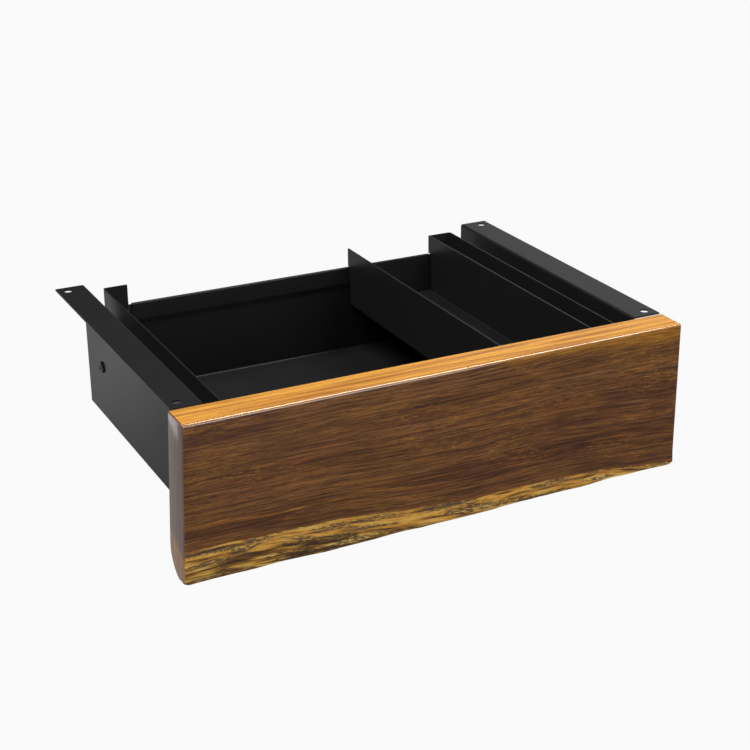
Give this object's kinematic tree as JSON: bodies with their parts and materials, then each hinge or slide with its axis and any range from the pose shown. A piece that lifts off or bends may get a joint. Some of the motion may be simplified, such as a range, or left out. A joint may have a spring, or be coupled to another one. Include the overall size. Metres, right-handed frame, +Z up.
{
  "type": "under desk drawer",
  "caption": "Shallow under-desk drawer of folded black steel with a live-edge wooden front and a pen tray, on ball-bearing slides between two screw-up desk brackets.",
  "frame": {"origin": "centre of the four desk screw holes, on the plane of the bracket flange tops, which is the underside of the desk", "axes": "+X to the right as seen by the user, -Y is the front, towards the user, +Z up towards the desk"},
  "size_m": [0.3778, 0.2759, 0.1125],
  "materials": {
    "black_steel": "satin black powder coat",
    "black_screw": "black oxide",
    "zinc_steel": "bright zinc plate",
    "ball_steel": "polished",
    "rubber": "matt",
    "black_plastic": "moulded, fine texture",
    "wood": "satin lacquer over dark figured wood with a pale natural edge"
  },
  "bodies": {
    "root": {"left_bracket": "black_steel", "right_bracket": "black_steel", "bracket_screws": "black_screw", "left_outer_rail": "zinc_steel", "right_outer_rail": "zinc_steel", "left_rail_stop": "rubber", "right_rail_stop": "rubber"},
    "drawer": {"left_inner_rail": "zinc_steel", "right_inner_rail": "zinc_steel", "inner_rail_screws": "zinc_steel", "left_side": "black_steel", "right_side": "black_steel", "drawer_pan": "black_steel", "pen_tray": "black_steel", "wood_front": "wood", "front_screws": "black_screw"},
    "left_middle_rail_run": {"left_middle_rail": "zinc_steel"},
    "left_outer_cage_run": {"left_outer_cage": "zinc_steel", "left_outer_balls": "ball_steel"},
    "left_inner_cage_run": {"left_inner_cage": "zinc_steel", "left_inner_balls": "ball_steel"},
    "left_release": {"left_release_lever": "black_plastic"},
    "right_middle_rail_run": {"right_middle_rail": "zinc_steel"},
    "right_outer_cage_run": {"right_outer_cage": "zinc_steel", "right_outer_balls": "ball_steel"},
    "right_inner_cage_run": {"right_inner_cage": "zinc_steel", "right_inner_balls": "ball_steel"},
    "right_release": {"right_release_lever": "black_plastic"}
  },
  "joints": [
    {"name": "drawer_slide", "type": "slide", "parent": "root", "child": "drawer", "axis": [0, -1, 0], "range_m": [0, 0.24]},
    {"name": "left_middle_rail_slide", "type": "slide", "parent": "root", "child": "left_middle_rail_run", "axis": [0, -1, 0], "range_m": [0, 0.12]},
    {"name": "left_outer_cage_slide", "type": "slide", "parent": "root", "child": "left_outer_cage_run", "axis": [0, -1, 0], "range_m": [0, 0.06]},
    {"name": "left_inner_cage_slide", "type": "slide", "parent": "root", "child": "left_inner_cage_run", "axis": [0, -1, 0], "range_m": [0, 0.18]},
    {"name": "left_release_pivot", "type": "hinge", "parent": "drawer", "child": "left_release", "pos_m": [-0.1526, 0.01, -0.054], "axis": [1, 0, 0], "range_deg": [-5, 5], "stiffness_Nm_per_rad": 0.05},
    {"name": "right_middle_rail_slide", "type": "slide", "parent": "root", "child": "right_middle_rail_run", "axis": [0, -1, 0], "range_m": [0, 0.12]},
    {"name": "right_outer_cage_slide", "type": "slide", "parent": "root", "child": "right_outer_cage_run", "axis": [0, -1, 0], "range_m": [0, 0.06]},
    {"name": "right_inner_cage_slide", "type": "slide", "parent": "root", "child": "right_inner_cage_run", "axis": [0, -1, 0], "range_m": [0, 0.18]},
    {"name": "right_release_pivot", "type": "hinge", "parent": "drawer", "child": "right_release", "pos_m": [0.1526, 0.01, -0.054], "axis": [1, 0, 0], "range_deg": [-5, 5], "stiffness_Nm_per_rad": 0.05}
  ],
  "couplings": [
    {"joint": "left_middle_rail_slide", "follows": "drawer_slide", "ratio": 0.5},
    {"joint": "left_outer_cage_slide", "follows": "drawer_slide", "ratio": 0.25},
    {"joint": "left_inner_cage_slide", "follows": "drawer_slide", "ratio": 0.75},
    {"joint": "right_middle_rail_slide", "follows": "drawer_slide", "ratio": 0.5},
    {"joint": "right_outer_cage_slide", "follows": "drawer_slide", "ratio": 0.25},
    {"joint": "right_inner_cage_slide", "follows": "drawer_slide", "ratio": 0.75}
  ]
}
